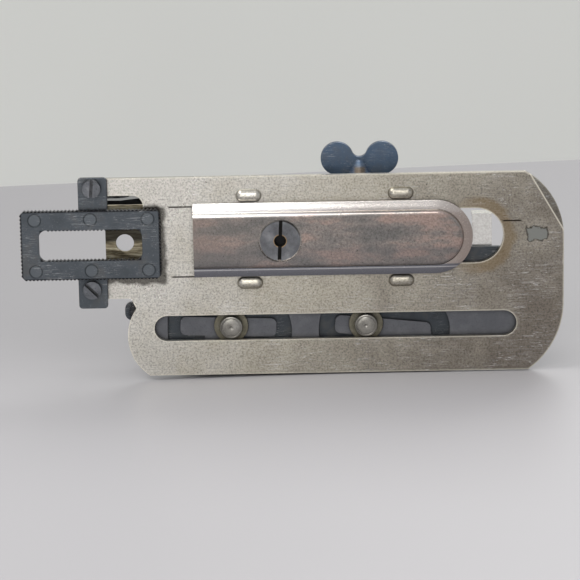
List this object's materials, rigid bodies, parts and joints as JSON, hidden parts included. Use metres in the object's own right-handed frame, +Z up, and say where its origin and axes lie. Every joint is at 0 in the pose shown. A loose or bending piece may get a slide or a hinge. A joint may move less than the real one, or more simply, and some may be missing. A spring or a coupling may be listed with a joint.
{
  "type": "sewing machine buttonhole attachment",
  "caption": "Buttonhole attachment for a sewing machine: slotted nickel base plate with toothed cloth clamp, slide shoe, and a covered feed mechanism, on its long edge.",
  "frame": {"origin": "centre of the footprint on the surface, as the attachment stands on its long edge", "axes": "+X along the attachment away from the cloth clamp, -Y the underside that meets the cloth, +Y the top with the fork arm, +Z up"},
  "size_m": [0.1536, 0.032, 0.0645],
  "materials": {
    "nickel_plate": "worn nickel plate on steel",
    "blued_steel": "blue-black oxide on steel",
    "shoe_chrome": "bright nickel, polished",
    "screw_steel": "dark oiled steel",
    "frame_steel": "grey steel, dull",
    "enamel_black": "black stoving enamel, gloss",
    "bright_steel": "turned bright steel",
    "bush_brass": "turned brass",
    "scale_nickel": "satin nickel",
    "knob_black": "black phenolic"
  },
  "bodies": {
    "frame": {"frame_plate": "frame_steel", "stud_plate": "blued_steel", "cover": "enamel_black", "cover_screws": "shoe_chrome", "guide_studs": "screw_steel", "stud_washers": "bright_steel", "slide_block": "frame_steel", "slide_shoe": "shoe_chrome", "pivot_screw": "screw_steel", "pivot_washer": "bright_steel", "pivot_nut": "screw_steel", "fork_bracket": "nickel_plate", "fork_pin": "bright_steel", "wheel_bush": "bush_brass", "bight_scale": "scale_nickel", "space_scale": "scale_nickel", "length_scale": "scale_nickel", "scale_pins": "scale_nickel", "rear_bracket": "nickel_plate", "retainer_plate": "blued_steel", "bracket_screws": "bright_steel", "pawl_post": "bright_steel", "pawl_spring": "blued_steel", "adjusting_stud": "screw_steel"},
    "work_carrier": {"base_plate": "nickel_plate", "clamp_ears": "blued_steel", "cloth_clamp": "blued_steel", "clamp_screws": "blued_steel", "follower_post": "bright_steel"},
    "follower_roller": {"follower_roller": "bright_steel"},
    "feed_wheel": {"ratchet_wheel": "frame_steel", "cam_plate": "frame_steel", "wheel_spindle": "bright_steel", "wheel_knob": "knob_black", "knob_screw": "shoe_chrome"},
    "fork_arm": {"fork_arm": "nickel_plate", "pawl_pin": "bright_steel"},
    "feed_pawl": {"feed_pawl": "frame_steel"},
    "holding_pawl": {"holding_pawl": "frame_steel"},
    "bight_lever": {"bight_lever": "nickel_plate", "bight_shaft": "bright_steel", "bight_crank": "blued_steel"},
    "bight_link": {"bight_link": "frame_steel"},
    "space_lever": {"space_lever": "nickel_plate", "space_shaft": "bright_steel", "space_crank": "blued_steel"},
    "space_link": {"space_link": "frame_steel"},
    "length_slide": {"length_pointer": "nickel_plate", "length_nut": "bright_steel"},
    "wing_screw": {"wing_screw": "blued_steel"},
    "foot": {"foot_sole": "nickel_plate", "foot_shank": "nickel_plate", "shank_rivets": "nickel_plate"},
    "adjusting_nut": {"adjusting_nut": "blued_steel"}
  },
  "joints": [
    {"name": "carrier_slide", "type": "slide", "parent": "frame", "child": "work_carrier", "axis": [1, 0, 0], "range_m": [-0.0156, 0.0068]},
    {"name": "roller_spin", "type": "hinge", "parent": "work_carrier", "child": "follower_roller", "pos_m": [0.028, -0.00673, 0.0295], "axis": [0, 1, 0], "continuous": true},
    {"name": "wheel_turn", "type": "hinge", "parent": "frame", "child": "feed_wheel", "pos_m": [0.016, -0.00222, 0.024], "axis": [0, 1, 0], "continuous": true},
    {"name": "fork_lift", "type": "hinge", "parent": "frame", "child": "fork_arm", "pos_m": [0.02, 0.00978, 0.0466], "axis": [0, 0, -1], "range_deg": [0, 20]},
    {"name": "feed_pawl_click", "type": "hinge", "parent": "fork_arm", "child": "feed_pawl", "pos_m": [0.023, -0.00222, 0.0466], "axis": [0, 1, 0], "range_deg": [0, 12], "stiffness_Nm_per_rad": 0.0006, "springref_deg": -17.19},
    {"name": "holding_pawl_click", "type": "hinge", "parent": "frame", "child": "holding_pawl", "pos_m": [0.0293, -0.00222, 0.0437], "axis": [0, -1, 0], "range_deg": [0, 8], "stiffness_Nm_per_rad": 0.001, "springref_deg": -17.19},
    {"name": "bight_set", "type": "hinge", "parent": "frame", "child": "bight_lever", "pos_m": [-0.0225, -0.00072, 0.0265], "axis": [0, 1, 0], "range_deg": [-7, 7]},
    {"name": "bight_link_slide", "type": "slide", "parent": "frame", "child": "bight_link", "axis": [0.9994, 0, -0.0349], "range_m": [-0.0025, 0.0025]},
    {"name": "space_set", "type": "hinge", "parent": "frame", "child": "space_lever", "pos_m": [0.0405, -0.00072, 0.027], "axis": [0, 1, 0], "range_deg": [-7, 7]},
    {"name": "space_link_slide", "type": "slide", "parent": "frame", "child": "space_link", "axis": [0.9945, 0, -0.1045], "range_m": [-0.0025, 0.0025]},
    {"name": "length_set", "type": "slide", "parent": "frame", "child": "length_slide", "axis": [1, 0, 0], "range_m": [-0.02, 0.011]},
    {"name": "wing_turn", "type": "hinge", "parent": "length_slide", "child": "wing_screw", "pos_m": [0.0196, 0.00028, 0.056], "axis": [0, 0, 1], "continuous": true},
    {"name": "foot_rock", "type": "hinge", "parent": "frame", "child": "foot", "pos_m": [-0.0034, -0.00773, 0.0395], "axis": [0, 1, 0], "range_deg": [-2.6, 2.6]},
    {"name": "adjusting_nut_turn", "type": "hinge", "parent": "frame", "child": "adjusting_nut", "pos_m": [-0.0429, -0.01013, 0.018], "axis": [0, 1, 0], "continuous": true}
  ],
  "couplings": [
    {"joint": "bight_link_slide", "follows": "bight_set", "m_per_rad": -0.0193},
    {"joint": "space_link_slide", "follows": "space_set", "m_per_rad": -0.0201}
  ]
}
